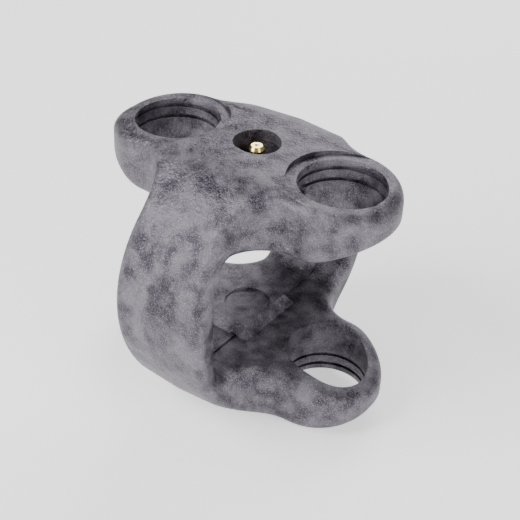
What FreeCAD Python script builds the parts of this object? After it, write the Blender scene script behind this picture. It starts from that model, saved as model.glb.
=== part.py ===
"""Centre yoke of a wide-angle driveline joint: one steel forging with four ears.

The drive axis is X.  One pair of ears points to +X and one to -X, and each pair carries
a cross bearing in a bore along Z.  The forging was struck between two dies that part on
a plane across X, so its outer faces draw in on both sides of that plane, and the window
through the middle was punched out afterwards and keeps the stump of its web.  The bores
were machined a little off the middle of the forging.  A grease fitting stands in a
counterbore above, and two drilled passages lead from it to the upper bores.

Millimetres, +Z up.  The origin is where the drive axis meets the parting plane.
"""
import FreeCAD, Part
import math
import os

V = FreeCAD.Vector
ORIGIN = V(0, 0, 0)
X_AXIS = V(1, 0, 0)
Y_AXIS = V(0, 1, 0)
Z_AXIS = V(0, 0, 1)

# ---- machined sizes
MACHINING_OFFSET = 1.6      # from the parting plane to the middle of the machining, along X
BORE_DIA = 35.0             # for the cross-bearing cups
BORE_PITCH = 82.0           # between the two bore axes
FACE_SPAN = 107.3           # across the spot faces of one pair of ears
SPOT_DIA = 44.8
RING_GROOVE_DIA = 37.0      # retaining-ring grooves
RING_GROOVE_WIDTH = 1.6
RING_GROOVE_DEPTHS = (2.7, 7.7)   # from the spot face to the outer side of each groove
BORE_CHAMFER = 0.5
COUNTERBORE_DIA = 19.6      # room for a grease coupler
COUNTERBORE_STEP = 4.2      # from the roof down to the narrower part
COUNTERBORE_LOW_DIA = 18.4
SEAT_HEIGHT = 45.2          # face that the fitting's hexagon is tightened against
PASSAGE_DIA = 3.4           # grease passages
PASSAGE_MOUTH_HEIGHT = 45.0
THREAD_HOLE_DEPTH = 9.0     # below the seat

# ---- forging
BODY_DIA = 125.0            # round body, at the parting plane
ROOF_HEIGHT = 57.3          # flat top and bottom, at the parting plane
ROOF_BLEND = 25.0           # from the flat into the round side
SIDE_DRAFT_DEG = 3.0
ROOF_DRAFT_DEG = 4.6
WALL_HALF_WIDTH = 22.5      # side walls along X, where they meet the round side
EAR_RADIUS = 25.2           # about the forged centre of the ear
NECK_RADIUS = 18.0          # hollow between an ear and a side wall, seen from above
THROAT_HALF_HEIGHT = 28.0   # inner faces of the ears
TIP_RISE_START = 38.0       # where the inner face begins to rise towards the tip
TIP_RISE_RADIUS = 25.0
TIP_RISE_DEG = 26.0
WALL_FACE_DEG = 8.0        # lean of the wall faces, in towards the window
WINDOW_HALF_WIDTH = 47.5
WINDOW_CORNER = 12.0
EDGE_AT_WALL = 4.0          # outer edges, rounded more and more towards the ear tips
EDGE_AT_TIP = 8.0
LIP_RADIUS = 6.0            # inner edges of window, throat and ears
WEB_PLANE = 5.6             # stump of the punched web, from the parting plane
WEB_THICKNESS = 2.4
WEB_STUMP = 0.8
PAD_HEIGHT = 5.0            # raised pad on the inner faces, opposite the fitting
PAD_LENGTH = 26.0           # along X, at its foot
PAD_WIDTH = 35.0            # along Y, at its foot
PAD_FLANK = 3.5             # how far each flank slopes in
PAD_RECESS_DIA = 20.0
PAD_RECESS_DEPTH = 1.2

# ---- grease fitting
HEX_ACROSS_FLATS = 9.0
HEX_HEIGHT = 3.0
SHANK_DIA = 8.0
SHANK_LENGTH = 6.0
SHANK_BEVEL = 0.6
NECK_DIA = 4.8
NECK_FLARE = 1.2            # height of the cone from the hexagon to the neck
HEAD_DIA = 6.5
HEAD_BAND = 0.8             # height of the head's widest part
HEAD_TOP_DIA = 4.6
HEAD_TAPER = 1.5            # height of the cone from the widest part to the top
FITTING_HEIGHT = 10.0       # from the seat to the top of the head
BALL_DIA = 2.4
BALL_CLEARANCE = 0.2        # of the chamber round the ball
MOUTH_DIA = 1.9
MOUTH_LIP = 0.4             # thickness of the rolled lip that keeps the ball in
CHANNEL_DIA = 1.6           # below the spring
SPRING_LENGTH = 4.5
SPRING_WIRE = 0.3
SPRING_TURNS = 5

# ---- cutters only have to reach past the body
REACH = 90.0


def tan_deg(angle):
    return math.tan(math.radians(angle))


def polar(centre, radius, angle):
    """Point at an angle from +X, in the XY plane."""
    return centre + V(math.cos(angle), math.sin(angle), 0) * radius


def arc_between(centre, radius, start, end):
    """Shorter arc about a centre in the XY plane, between two points on it."""
    middle = (start + end) * 0.5 - centre
    middle.normalize()
    return Part.Arc(start, centre + middle * radius, end).toShape()


def extruded(edges, along):
    return Part.Face(Part.Wire(edges)).extrude(along)


def cylinder(diameter, length, base, axis=Z_AXIS):
    return Part.makeCylinder(diameter / 2, length, base, axis)


def edge_nearest(shape, point):
    vertex = Part.Vertex(point)
    return min(shape.Edges, key=lambda edge: edge.distToShape(vertex)[0])


# ---- forging, one eighth: +X, +Y and +Z of the parting plane and the drive axis

def round_side():
    """Eighth of the drafted round body, with the drafted flat blended into it."""
    radius = BODY_DIA / 2
    far_radius = radius - REACH * tan_deg(SIDE_DRAFT_DEG)
    far_roof = ROOF_HEIGHT - REACH * tan_deg(ROOF_DRAFT_DEG)
    cone_side = [ORIGIN, V(0, radius, 0), V(REACH, far_radius, 0), V(REACH, 0, 0), ORIGIN]
    cone = Part.Face(Part.makePolygon(cone_side)).revolve(ORIGIN, X_AXIS, 90)
    roof_side = [ORIGIN, V(0, 0, ROOF_HEIGHT), V(REACH, 0, far_roof), V(REACH, 0, 0), ORIGIN]
    roof = Part.Face(Part.makePolygon(roof_side)).extrude(Y_AXIS * BODY_DIA)
    body = cone.common(roof)
    mid_radius = (radius + far_radius) / 2
    mid_roof = (ROOF_HEIGHT + far_roof) / 2
    crease = edge_nearest(body, V(REACH / 2, math.sqrt(mid_radius ** 2 - mid_roof ** 2), mid_roof))
    return body.makeFillet(ROOF_BLEND, [crease])


def plan_cutter():
    """Outline seen from above: ear, hollow neck and the leaning wall face."""
    lean = math.radians(WALL_FACE_DEG)
    inward = V(-math.sin(lean), -math.cos(lean), 0)
    outward_x = V(math.cos(lean), -math.sin(lean), 0)
    wall_edge = V(WALL_HALF_WIDTH, BODY_DIA / 2, 0)
    ear = V(BORE_PITCH / 2, 0, 0)
    # the neck circle touches the wall face and the ear circle
    apart = EAR_RADIUS + NECK_RADIUS
    offset = wall_edge + outward_x * NECK_RADIUS - ear
    along = offset.dot(inward)
    slide = -along - math.sqrt(along ** 2 - offset.dot(offset) + apart ** 2)
    neck = ear + offset + inward * slide
    at_wall = neck - outward_x * NECK_RADIUS
    at_ear = ear + (neck - ear) * (EAR_RADIUS / apart)
    tip = ear + X_AXIS * EAR_RADIUS
    beyond = wall_edge - inward * BODY_DIA
    edges = [
        Part.makeLine(ORIGIN, tip),
        arc_between(ear, EAR_RADIUS, tip, at_ear),
        arc_between(neck, NECK_RADIUS, at_ear, at_wall),
        Part.makeLine(at_wall, beyond),
        Part.makeLine(beyond, V(0, beyond.y, 0)),
        Part.makeLine(V(0, beyond.y, 0), ORIGIN),
    ]
    return extruded(edges, Z_AXIS * BODY_DIA)


def throat_cutter():
    """Space under the ear: its inner face curves up into the slope of the tip."""
    rise = math.radians(TIP_RISE_DEG)
    start = V(TIP_RISE_START, 0, THROAT_HALF_HEIGHT)

    def on_curve(angle):
        return start + V(math.sin(angle), 0, 1 - math.cos(angle)) * TIP_RISE_RADIUS

    curve_end = on_curve(rise)
    far = V(REACH, 0, curve_end.z + (REACH - curve_end.x) * math.tan(rise))
    edges = [
        Part.makeLine(V(TIP_RISE_START, 0, 0), start),
        Part.Arc(start, on_curve(rise / 2), curve_end).toShape(),
        Part.makeLine(curve_end, far),
        Part.makeLine(far, V(REACH, 0, 0)),
        Part.makeLine(V(REACH, 0, 0), V(TIP_RISE_START, 0, 0)),
    ]
    return extruded(edges, Y_AXIS * BODY_DIA)


def window_face(x, inset):
    """Quarter of the window's outline at x, drawn in by an inset."""
    half_width = WINDOW_HALF_WIDTH - inset
    half_height = THROAT_HALF_HEIGHT - inset
    corner = WINDOW_CORNER - inset
    low = V(x, half_width, half_height - corner)
    high = V(x, half_width - corner, half_height)
    middle = V(x, half_width - corner * (1 - math.sqrt(0.5)), half_height - corner * (1 - math.sqrt(0.5)))
    edges = [
        Part.makeLine(V(x, 0, 0), V(x, half_width, 0)),
        Part.makeLine(V(x, half_width, 0), low),
        Part.Arc(low, middle, high).toShape(),
        Part.makeLine(high, V(x, 0, half_height)),
        Part.makeLine(V(x, 0, half_height), V(x, 0, 0)),
    ]
    return Part.Face(Part.Wire(edges))


def forged_eighth():
    body = round_side().common(plan_cutter())
    body = body.cut(window_face(0, 0).extrude(X_AXIS * REACH)).cut(throat_cutter())
    ear_side = polar(V(BORE_PITCH / 2, 0, 0), EAR_RADIUS, math.pi / 8)
    roof = ROOF_HEIGHT - ear_side.x * tan_deg(ROOF_DRAFT_DEG)
    roof_edge = edge_nearest(body, V(ear_side.x, ear_side.y, roof))
    # each rounding follows its chain of edges from the side wall to the tip of the ear
    body = body.makeFillet(EDGE_AT_WALL, EDGE_AT_TIP, [roof_edge])
    lip_edge = edge_nearest(body, V(WALL_HALF_WIDTH, WINDOW_HALF_WIDTH, THROAT_HALF_HEIGHT / 4))
    return body.makeFillet(LIP_RADIUS, [lip_edge])


def mirrored_both_ways(shape):
    for normal in (Y_AXIS, Z_AXIS):
        shape = shape.fuse(shape.mirror(ORIGIN, normal))
    return shape


def web_stump():
    """Low band round the inside of the window, where the web was punched out."""
    start = WEB_PLANE - WEB_THICKNESS / 2
    outer = window_face(start, 0).extrude(X_AXIS * WEB_THICKNESS)
    inner = window_face(start, WEB_STUMP).extrude(X_AXIS * WEB_THICKNESS)
    return mirrored_both_ways(outer.cut(inner))


def rectangle(length, width, height):
    x, y = length / 2, width / 2
    corners = [V(-x, -y, height), V(x, -y, height), V(x, y, height), V(-x, y, height)]
    return Part.makePolygon(corners + corners[:1])


def pad(side):
    """Raised pad on an inner face; the lower one has a shallow round recess."""
    foot = rectangle(PAD_LENGTH, PAD_WIDTH, side * THROAT_HALF_HEIGHT)
    top_height = THROAT_HALF_HEIGHT - PAD_HEIGHT
    top = rectangle(PAD_LENGTH - 2 * PAD_FLANK, PAD_WIDTH - 2 * PAD_FLANK, side * top_height)
    solid = Part.makeLoft([foot, top], True, True)
    if side < 0:
        solid = solid.cut(cylinder(PAD_RECESS_DIA, REACH, V(0, 0, -top_height - PAD_RECESS_DEPTH)))
    return solid


def forged_body():
    eighth = forged_eighth()
    half = mirrored_both_ways(eighth)
    whole = half.fuse(half.mirror(ORIGIN, X_AXIS))
    return whole.fuse([web_stump(), pad(1), pad(-1)]).removeSplitter()


# ---- machining, about its own middle

def machined_place(shape):
    shape.translate(X_AXIS * MACHINING_OFFSET)
    return shape


def bore_cutter(x):
    """Bore through one pair of ears, with its spot faces, chamfers and ring grooves."""
    face = FACE_SPAN / 2
    cutter = cylinder(BORE_DIA, 2 * REACH, V(x, 0, -REACH))
    pieces = []
    for side in (-1, 1):
        outward = Z_AXIS * side
        at_face = V(x, 0, side * face)
        pieces.append(cylinder(SPOT_DIA, REACH, at_face, outward))
        pieces.append(Part.makeCone(BORE_DIA / 2, BORE_DIA / 2 + BORE_CHAMFER, BORE_CHAMFER,
                                    at_face - outward * BORE_CHAMFER, outward))
        for depth in RING_GROOVE_DEPTHS:
            pieces.append(cylinder(RING_GROOVE_DIA, RING_GROOVE_WIDTH, at_face - outward * depth, -outward))
    return cutter.fuse(pieces)


def counterbore_cutter():
    """Stepped counterbore and the threaded hole of the grease fitting."""
    step = ROOF_HEIGHT - COUNTERBORE_STEP
    upper = cylinder(COUNTERBORE_DIA, REACH, V(0, 0, step))
    lower = cylinder(COUNTERBORE_LOW_DIA, step - SEAT_HEIGHT, V(0, 0, SEAT_HEIGHT))
    thread = cylinder(SHANK_DIA, THREAD_HOLE_DEPTH, V(0, 0, SEAT_HEIGHT - THREAD_HOLE_DEPTH))
    return upper.fuse([lower, thread])


def passage_cutter(side):
    """Drilling from the foot of the threaded hole up to the mouth in a bore's wall."""
    foot = V(0, 0, SEAT_HEIGHT - THREAD_HOLE_DEPTH + PASSAGE_DIA / 2)
    mouth = V(side * (BORE_PITCH / 2 - BORE_DIA / 2), 0, PASSAGE_MOUTH_HEIGHT)
    run = mouth - foot
    return cylinder(PASSAGE_DIA, run.Length + PASSAGE_DIA, foot, run)


def yoke_forging():
    cutters = [bore_cutter(-BORE_PITCH / 2), bore_cutter(BORE_PITCH / 2), counterbore_cutter()]
    cutters += [passage_cutter(side) for side in (-1, 1)]
    body = forged_body()
    for cutter in cutters:
        body = body.cut(machined_place(cutter))
    return body.Solids[0]


# ---- grease fitting, built at its seat

def revolved(points):
    """Solid of revolution about Z from (radius, height) points."""
    outline = [V(radius, 0, height) for radius, height in points]
    return Part.Face(Part.makePolygon(outline + outline[:1])).revolve(ORIGIN, Z_AXIS, 360)


CHAMBER_DIA = BALL_DIA + BALL_CLEARANCE
# the ball rests against the lower edge of the mouth
BALL_HEIGHT = FITTING_HEIGHT - MOUTH_LIP - math.sqrt(BALL_DIA ** 2 - MOUTH_DIA ** 2) / 2
SPRING_RADIUS = (CHAMBER_DIA - SPRING_WIRE - BALL_CLEARANCE) / 2
# the top coil lies against the ball
SPRING_TOP = BALL_HEIGHT - math.sqrt((BALL_DIA + SPRING_WIRE) ** 2 / 4 - SPRING_RADIUS ** 2)
SPRING_SEAT = SPRING_TOP - SPRING_LENGTH - SPRING_WIRE / 2


def hexagon():
    """Hexagon with its upper corners bevelled at 45 degrees."""
    flat = HEX_ACROSS_FLATS / 2
    corner = flat / math.cos(math.pi / 6)
    corners = [polar(ORIGIN, corner, math.pi / 3 * step) for step in range(6)]
    prism = Part.Face(Part.makePolygon(corners + corners[:1])).extrude(Z_AXIS * HEX_HEIGHT)
    foot = flat + HEX_HEIGHT
    return prism.common(revolved([(0, 0), (foot, 0), (flat, HEX_HEIGHT), (0, HEX_HEIGHT)]))


def fitting_body():
    """Hexagon, shank and coned head, hollow for the ball and its spring."""
    head = HEAD_DIA / 2
    neck = NECK_DIA / 2
    shank = SHANK_DIA / 2
    taper_foot = FITTING_HEIGHT - HEAD_TAPER
    band_foot = taper_foot - HEAD_BAND
    turned = revolved([
        (CHANNEL_DIA / 2, -SHANK_LENGTH),
        (shank - SHANK_BEVEL, -SHANK_LENGTH),
        (shank, SHANK_BEVEL - SHANK_LENGTH),
        (shank, HEX_HEIGHT),
        (neck, HEX_HEIGHT + NECK_FLARE),
        (neck, band_foot - (head - neck)),
        (head, band_foot),
        (head, taper_foot),
        (HEAD_TOP_DIA / 2, FITTING_HEIGHT),
        (MOUTH_DIA / 2, FITTING_HEIGHT),
        (MOUTH_DIA / 2, FITTING_HEIGHT - MOUTH_LIP),
        (CHAMBER_DIA / 2, FITTING_HEIGHT - MOUTH_LIP),
        (CHAMBER_DIA / 2, SPRING_SEAT),
        (CHANNEL_DIA / 2, SPRING_SEAT),
    ])
    core = cylinder(SHANK_DIA, HEX_HEIGHT, ORIGIN)
    return turned.fuse(hexagon().cut(core)).removeSplitter().Solids[0]


def check_ball():
    return Part.makeSphere(BALL_DIA / 2, V(0, 0, BALL_HEIGHT))


def check_spring():
    """Coil of six-sided wire, swept along a helix."""
    helix = Part.makeHelix(SPRING_LENGTH / SPRING_TURNS, SPRING_LENGTH, SPRING_RADIUS)
    section = []
    for step in range(6):
        corner = polar(V(SPRING_RADIUS, 0, 0), SPRING_WIRE / 2, math.pi / 3 * step)
        section.append(V(corner.x, 0, corner.y))
    outline = Part.makePolygon(section + section[:1])
    coil = Part.Wire(helix).makePipeShell([outline], True, True)
    coil.translate(Z_AXIS * (SPRING_TOP - SPRING_LENGTH))
    return coil


def seated(shape):
    shape.translate(Z_AXIS * SEAT_HEIGHT)
    return machined_place(shape)


NODES = {
    "yoke_forging": yoke_forging,
    "grease_fitting": lambda: seated(fitting_body()),
    "check_ball": lambda: seated(check_ball()),
    "check_spring": lambda: seated(check_spring()),
}

os.makedirs("parts", exist_ok=True)
for name, build in NODES.items():
    build().exportStep(f"parts/{name}.step")
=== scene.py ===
# %% [markdown]
# # Centre yoke of a wide-angle driveline joint
# One steel forging with two pairs of ears, bored for bearing cups, with a grease fitting
# in a counterbore on top.  The solids come from the CAD model and stay where they are.
# Everything below is in metres, in the same frame: +X along the drive axis, +Z up.

# %% Load the solids
import bpy
import bmesh
import numpy as np
from mathutils import Matrix, Vector


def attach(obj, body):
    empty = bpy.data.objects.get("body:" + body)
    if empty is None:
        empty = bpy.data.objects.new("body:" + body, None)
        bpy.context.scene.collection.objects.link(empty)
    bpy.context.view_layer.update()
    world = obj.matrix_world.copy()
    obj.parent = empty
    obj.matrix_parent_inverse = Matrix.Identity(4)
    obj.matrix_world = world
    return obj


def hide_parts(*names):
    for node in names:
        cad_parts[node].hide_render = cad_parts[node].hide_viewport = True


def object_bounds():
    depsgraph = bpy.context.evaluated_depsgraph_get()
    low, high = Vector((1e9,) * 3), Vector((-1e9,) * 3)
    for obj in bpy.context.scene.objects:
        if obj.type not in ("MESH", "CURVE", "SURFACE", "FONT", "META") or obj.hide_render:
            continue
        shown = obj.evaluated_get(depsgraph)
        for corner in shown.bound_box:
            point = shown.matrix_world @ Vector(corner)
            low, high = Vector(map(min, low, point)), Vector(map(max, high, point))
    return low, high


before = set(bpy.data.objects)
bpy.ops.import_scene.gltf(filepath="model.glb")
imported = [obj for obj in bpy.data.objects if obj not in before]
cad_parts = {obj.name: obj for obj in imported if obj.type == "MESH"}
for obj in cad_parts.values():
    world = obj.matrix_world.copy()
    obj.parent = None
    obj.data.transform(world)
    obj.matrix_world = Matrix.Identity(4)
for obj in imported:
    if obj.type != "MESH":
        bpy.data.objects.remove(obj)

cad_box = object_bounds()
print("nodes:", sorted(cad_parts))
print("CAD box:", cad_box)

# %% [markdown]
# ## Camera
# A long lens from the right front, well above the part, so that the roof, one side wall
# and the window all show.  The turn of the camera is written as its three axes, because
# that states the small roll of the view exactly.

# %% Camera
LENS_MM = 79.5
SENSOR_MM = 36.0
CAMERA_PLACE = Vector((0.23211, -0.32539, 0.27946))
CAMERA_RIGHT = Vector((0.8045, 0.5927, 0.0384)).normalized()
CAMERA_UP = Vector((-0.3662, 0.4441, 0.8177)).normalized()

camera_data = bpy.data.cameras.new("camera")
camera_data.lens = LENS_MM
camera_data.sensor_width = SENSOR_MM
camera = bpy.data.objects.new("camera", camera_data)
back = CAMERA_RIGHT.cross(CAMERA_UP)
turn = Matrix((CAMERA_RIGHT, back.cross(CAMERA_RIGHT), back)).transposed()
camera.matrix_world = Matrix.Translation(CAMERA_PLACE) @ turn.to_4x4()
bpy.context.scene.collection.objects.link(camera)
bpy.context.scene.camera = camera
print("camera at", tuple(round(v, 4) for v in camera.location), "lens", LENS_MM, "mm")

# %% [markdown]
# ## Floor and background
# The part stands on a pale floor.  The Light Path node lifts the floor towards white for the
# camera and in reflections only, so the floor still takes a soft shadow.  The sky is white
# to the camera and much weaker as a source of light.

# %% Floor and background
FLOOR_SIZE = 4.0
FLOOR_COLOUR = (0.9, 0.9, 0.9, 1)
FLOOR_GLOW = 0.8            # seen by the camera and in reflections only
WHITE = (1, 1, 1, 1)
SKY_LIGHT = 0.35
SKY_SEEN = 1.0              # by the camera
floor_height = cad_box[0].z


def new_material(name):
    """Empty node material, with its output and its tree."""
    material = bpy.data.materials.new(name)
    material.use_nodes = True
    tree = material.node_tree
    tree.nodes.clear()
    return material, tree, tree.nodes.new("ShaderNodeOutputMaterial")


def grid_mesh(name, points, faces):
    """Mesh from an array of points and an array of faces."""
    mesh = bpy.data.meshes.new(name)
    mesh.from_pydata(points.tolist(), [], faces.tolist())
    mesh.validate()
    mesh.update()
    thing = bpy.data.objects.new(name, mesh)
    bpy.context.scene.collection.objects.link(thing)
    return thing


half = FLOOR_SIZE / 2
floor_points = np.array([[-half, -half, 0], [half, -half, 0], [half, half, 0], [-half, half, 0]])
floor_points[:, 2] = floor_height
floor = grid_mesh("floor", floor_points, np.array([[0, 1, 2, 3]]))

material, tree, output = new_material("pale_floor")
plain = tree.nodes.new("ShaderNodeBsdfDiffuse")
plain.inputs["Color"].default_value = FLOOR_COLOUR
white = tree.nodes.new("ShaderNodeEmission")
path = tree.nodes.new("ShaderNodeLightPath")
add = tree.nodes.new("ShaderNodeAddShader")
seen = tree.nodes.new("ShaderNodeMath")
seen.operation = "MAXIMUM"
tree.links.new(path.outputs["Is Camera Ray"], seen.inputs[0])
tree.links.new(path.outputs["Is Glossy Ray"], seen.inputs[1])
lift = tree.nodes.new("ShaderNodeMath")
lift.operation = "MULTIPLY"
lift.inputs[1].default_value = FLOOR_GLOW
tree.links.new(seen.outputs[0], lift.inputs[0])
tree.links.new(lift.outputs[0], white.inputs["Strength"])
tree.links.new(plain.outputs[0], add.inputs[0])
tree.links.new(white.outputs[0], add.inputs[1])
tree.links.new(add.outputs[0], output.inputs["Surface"])
floor.data.materials.append(material)

world = bpy.data.worlds.new("studio")
bpy.context.scene.world = world
world.use_nodes = True
tree = world.node_tree
tree.nodes.clear()
output = tree.nodes.new("ShaderNodeOutputWorld")
soft = tree.nodes.new("ShaderNodeBackground")
soft.inputs["Color"].default_value = WHITE
soft.inputs["Strength"].default_value = SKY_LIGHT
bright = tree.nodes.new("ShaderNodeBackground")
bright.inputs["Color"].default_value = WHITE
bright.inputs["Strength"].default_value = SKY_SEEN
mix = tree.nodes.new("ShaderNodeMixShader")
path = tree.nodes.new("ShaderNodeLightPath")
tree.links.new(path.outputs["Is Camera Ray"], mix.inputs[0])
tree.links.new(soft.outputs[0], mix.inputs[1])
tree.links.new(bright.outputs[0], mix.inputs[2])
tree.links.new(mix.outputs[0], output.inputs["Surface"])
print("floor at", floor_height)

# %% [markdown]
# ## Lights
# Three large soft lamps, as in a product studio: a key from the left front, a fill from
# the right and a strip behind.  Large lamps give broken, wide highlights on forged scale.

# %% Lights
# name, place, width, height and power in watts
LAMPS = [
    ("key", (-0.35, -0.55, 0.55), 0.5, 0.5, 9.0),
    ("fill", (0.7, -0.2, 0.25), 0.3, 0.5, 3.0),
    ("rim", (-0.2, 0.7, 0.5), 0.6, 0.3, 5.0),
]
for name, place, width, height, power in LAMPS:
    lamp = bpy.data.lights.new(name, "AREA")
    lamp.shape = "RECTANGLE"
    lamp.size = width
    lamp.size_y = height
    lamp.energy = power
    thing = bpy.data.objects.new(name, lamp)
    thing.location = place
    thing.rotation_euler = (-Vector(place)).to_track_quat("-Z", "Y").to_euler()
    bpy.context.scene.collection.objects.link(thing)
print(len(LAMPS), "lamps")

# %% [markdown]
# ## The forging
# The solid arrives as loose triangles.  A copy is taken, so that the CAD solid stays as it
# is, and its triangles are merged where they meet.  The copy keeps the exact shape.

# %% Copy of the forging
MERGE_DISTANCE = 2e-6       # metres

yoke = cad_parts["yoke_forging"].copy()
yoke.data = yoke.data.copy()
yoke.name = "forged_yoke"
bpy.context.scene.collection.objects.link(yoke)
work = bmesh.new()
work.from_mesh(yoke.data)
bmesh.ops.remove_doubles(work, verts=work.verts, dist=MERGE_DISTANCE)
work.to_mesh(yoke.data)
work.free()
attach(yoke, "yoke")
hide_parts("yoke_forging")
print("forged_yoke:", len(yoke.data.polygons), "triangles")

# %% [markdown]
# ## Finishes
# Forged scale is dark, slightly violet, and rough at three sizes: broad dents from loose
# scale, a grain of about a millimetre, and fine pale specks.  One shader group makes these
# fields for every metal here, and each metal takes its own share of them.

# %% Shared shader groups


def make_group(name, outputs):
    """Shader group with a Vector input and float outputs."""
    group = bpy.data.node_groups.new(name, "ShaderNodeTree")
    group.interface.new_socket("Vector", in_out="INPUT", socket_type="NodeSocketVector")
    for label in outputs:
        group.interface.new_socket(label, in_out="OUTPUT", socket_type="NodeSocketFloat")
    return group, group.nodes.new("NodeGroupInput"), group.nodes.new("NodeGroupOutput")


def noise(tree, vector, scale, detail):
    """Noise field of so many bumps a metre."""
    node = tree.nodes.new("ShaderNodeTexNoise")
    node.inputs["Scale"].default_value = scale
    node.inputs["Detail"].default_value = detail
    tree.links.new(vector, node.inputs["Vector"])
    return node.outputs["Fac"]


def stretch(tree, value, low, high):
    """Value between two limits, spread to 0..1."""
    node = tree.nodes.new("ShaderNodeMapRange")
    node.inputs["From Min"].default_value = low
    node.inputs["From Max"].default_value = high
    tree.links.new(value, node.inputs["Value"])
    return node.outputs["Result"]


def weighted(tree, terms):
    """Sum of values, each times its weight."""
    total = None
    for value, weight in terms:
        node = tree.nodes.new("ShaderNodeMath")
        node.operation = "MULTIPLY_ADD"
        node.inputs[1].default_value = weight
        node.inputs[2].default_value = 0.0
        tree.links.new(value, node.inputs[0])
        if total is not None:
            tree.links.new(total, node.inputs[2])
        total = node.outputs[0]
    return total


BUMPS_PER_METRE = (140.0, 700.0, 2600.0)    # broad, middle and fine
NOISE_DETAIL = (3.0, 4.0, 2.0)
HEIGHT_SHARES = (1.0, 0.8, 0.35)
SPECKLE_RANGE = (0.52, 0.7)
CLOUD_RANGE = (0.35, 0.65)

grain, entry, leave = make_group("metal_grain", ("Height", "Speckle", "Cloud"))
vector = entry.outputs["Vector"]
fields = [noise(grain, vector, *sizes) for sizes in zip(BUMPS_PER_METRE, NOISE_DETAIL)]
height = weighted(grain, zip(fields, HEIGHT_SHARES))
grain.links.new(height, leave.inputs["Height"])
grain.links.new(stretch(grain, fields[-1], *SPECKLE_RANGE), leave.inputs["Speckle"])
grain.links.new(stretch(grain, fields[0], *CLOUD_RANGE), leave.inputs["Cloud"])
print(grain.name, "gives", [socket.name for socket in leave.inputs if socket.name])


def metal(name, dark, light, rough, bump_depth, speckle_share):
    """Metal whose colour runs from dark to light with the clouds and the speckle."""
    material, tree, output = new_material(name)
    surface = tree.nodes.new("ShaderNodeBsdfPrincipled")
    surface.inputs["Metallic"].default_value = 1.0
    tree.links.new(surface.outputs[0], output.inputs["Surface"])
    place = tree.nodes.new("ShaderNodeTexCoord")
    skin = tree.nodes.new("ShaderNodeGroup")
    skin.node_tree = grain
    tree.links.new(place.outputs["Object"], skin.inputs["Vector"])
    blend = tree.nodes.new("ShaderNodeMix")
    blend.data_type = "RGBA"
    blend.inputs["A"].default_value = (*dark, 1)
    blend.inputs["B"].default_value = (*light, 1)
    shares = ((skin.outputs["Cloud"], 1 - speckle_share), (skin.outputs["Speckle"], speckle_share))
    tree.links.new(weighted(tree, shares), blend.inputs["Factor"])
    tree.links.new(blend.outputs["Result"], surface.inputs["Base Color"])
    roughness = tree.nodes.new("ShaderNodeMapRange")
    roughness.inputs["To Min"].default_value = rough[0]
    roughness.inputs["To Max"].default_value = rough[1]
    tree.links.new(skin.outputs["Cloud"], roughness.inputs["Value"])
    tree.links.new(roughness.outputs["Result"], surface.inputs["Roughness"])
    bump = tree.nodes.new("ShaderNodeBump")
    bump.inputs["Strength"].default_value = 1.0
    bump.inputs["Distance"].default_value = bump_depth
    tree.links.new(skin.outputs["Height"], bump.inputs["Height"])
    tree.links.new(bump.outputs["Normal"], surface.inputs["Normal"])
    return material


# dark and light colour, range of roughness, bump depth in metres, share of the speckle
scale_skin = metal("forged_scale", (0.055, 0.048, 0.062), (0.36, 0.34, 0.38), (0.38, 0.58), 0.0007, 0.55)
brass = metal("yellow_brass", (0.62, 0.47, 0.16), (0.86, 0.72, 0.34), (0.2, 0.32), 0.00003, 0.2)
bright_ball = metal("polished_steel", (0.66, 0.66, 0.67), (0.8, 0.8, 0.8), (0.1, 0.16), 0.00001, 0.1)
wire = metal("spring_wire", (0.4, 0.4, 0.42), (0.6, 0.6, 0.6), (0.25, 0.35), 0.00002, 0.2)

# %% Dress the pieces
yoke.data.materials.clear()
yoke.data.materials.append(scale_skin)
print(yoke.name, "wears", scale_skin.name)
for node, finish in {"grease_fitting": brass, "check_ball": bright_ball, "check_spring": wire}.items():
    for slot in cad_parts[node].material_slots:
        slot.material = finish
    print(node, "wears", finish.name)
